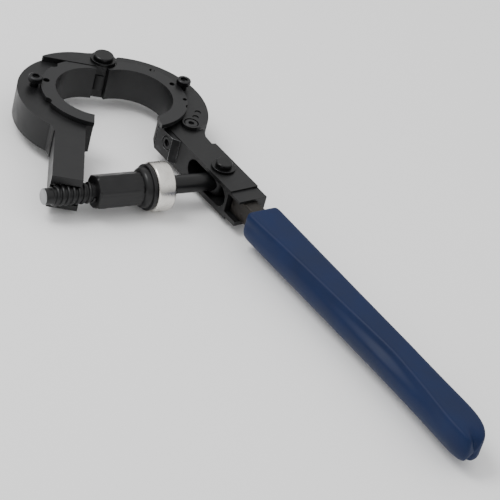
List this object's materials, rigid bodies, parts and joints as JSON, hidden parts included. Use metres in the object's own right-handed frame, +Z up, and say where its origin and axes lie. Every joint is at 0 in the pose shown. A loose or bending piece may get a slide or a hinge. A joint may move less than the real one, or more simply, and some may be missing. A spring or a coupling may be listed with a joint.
{
  "type": "plastic pipe cutter",
  "caption": "Hinged two-jaw cutter for large plastic pipe: half-ring inserts, a fixed scoring blade, a swinging feed screw with a thrust ring, and a long vinyl-gripped handle.",
  "frame": {"origin": "middle of the bounding box, at its lowest level, under the tool as it lies flat", "axes": "+X along the handle towards the grip's end, +Z up along the pipe bore, the hinge and both pivots, +Y from the spindle towards the back of the block"},
  "size_m": [0.4432, 0.1658, 0.0393],
  "materials": {
    "left_jaw": "black oxide, satin",
    "left_insert": "black oxide, satin",
    "left_insert_screw": "black oxide, satin",
    "right_jaw": "black oxide, satin",
    "right_insert": "black oxide, satin",
    "right_insert_screw": "black oxide, satin",
    "handle_block": "black oxide, satin",
    "cheek_screw": "black oxide, satin",
    "dowel_pin_1": "black oxide, satin",
    "dowel_pin_2": "black oxide, satin",
    "hinge_pin": "black oxide, satin",
    "hinge_washer": "black oxide, satin",
    "hinge_retaining_ring": "bright steel",
    "blade": "ground tool steel with a bright edge",
    "blade_screw": "black oxide, satin",
    "pivot_pin": "black oxide, satin",
    "pivot_washer": "black oxide, satin",
    "pivot_retaining_ring": "bright steel",
    "swing_rod": "black oxide, satin",
    "thrust_ring": "bright zinc plate",
    "feed_screw": "black oxide, satin, bare steel tip",
    "handle_bar": "bare steel, dull",
    "handle_roll_pin": "bright steel",
    "grip": "navy vinyl dip, soft gloss"
  },
  "bodies": {
    "right_side": {"right_jaw": "right_jaw", "right_insert": "right_insert", "right_insert_screw": "right_insert_screw", "handle_block": "handle_block", "cheek_screw": "cheek_screw", "dowel_pin_1": "dowel_pin_1", "dowel_pin_2": "dowel_pin_2", "hinge_pin": "hinge_pin", "hinge_washer": "hinge_washer", "hinge_retaining_ring": "hinge_retaining_ring", "blade": "blade", "blade_screw": "blade_screw", "pivot_pin": "pivot_pin", "pivot_washer": "pivot_washer", "pivot_retaining_ring": "pivot_retaining_ring", "handle_bar": "handle_bar", "handle_roll_pin": "handle_roll_pin", "grip": "grip"},
    "left_side": {"left_jaw": "left_jaw", "left_insert": "left_insert", "left_insert_screw": "left_insert_screw"},
    "spindle": {"swing_rod": "swing_rod", "thrust_ring": "thrust_ring"},
    "feed": {"feed_screw": "feed_screw"}
  },
  "joints": [
    {"name": "jaw_hinge", "type": "hinge", "parent": "right_side", "child": "left_side", "pos_m": [-0.204, 0.03208, 0.02], "axis": [0, 0, 1], "range_deg": [-40, 0]},
    {"name": "spindle_swing", "type": "hinge", "parent": "right_side", "child": "spindle", "pos_m": [-0.0711, 0.04928, 0.017], "axis": [0, 0, 1], "range_deg": [0, 54]},
    {"name": "feed_screw_spin", "type": "hinge", "parent": "spindle", "child": "feed", "pos_m": [-0.0711, 0.04928, 0.017], "axis": [-0.153, -0.9882, 0], "continuous": true}
  ]
}
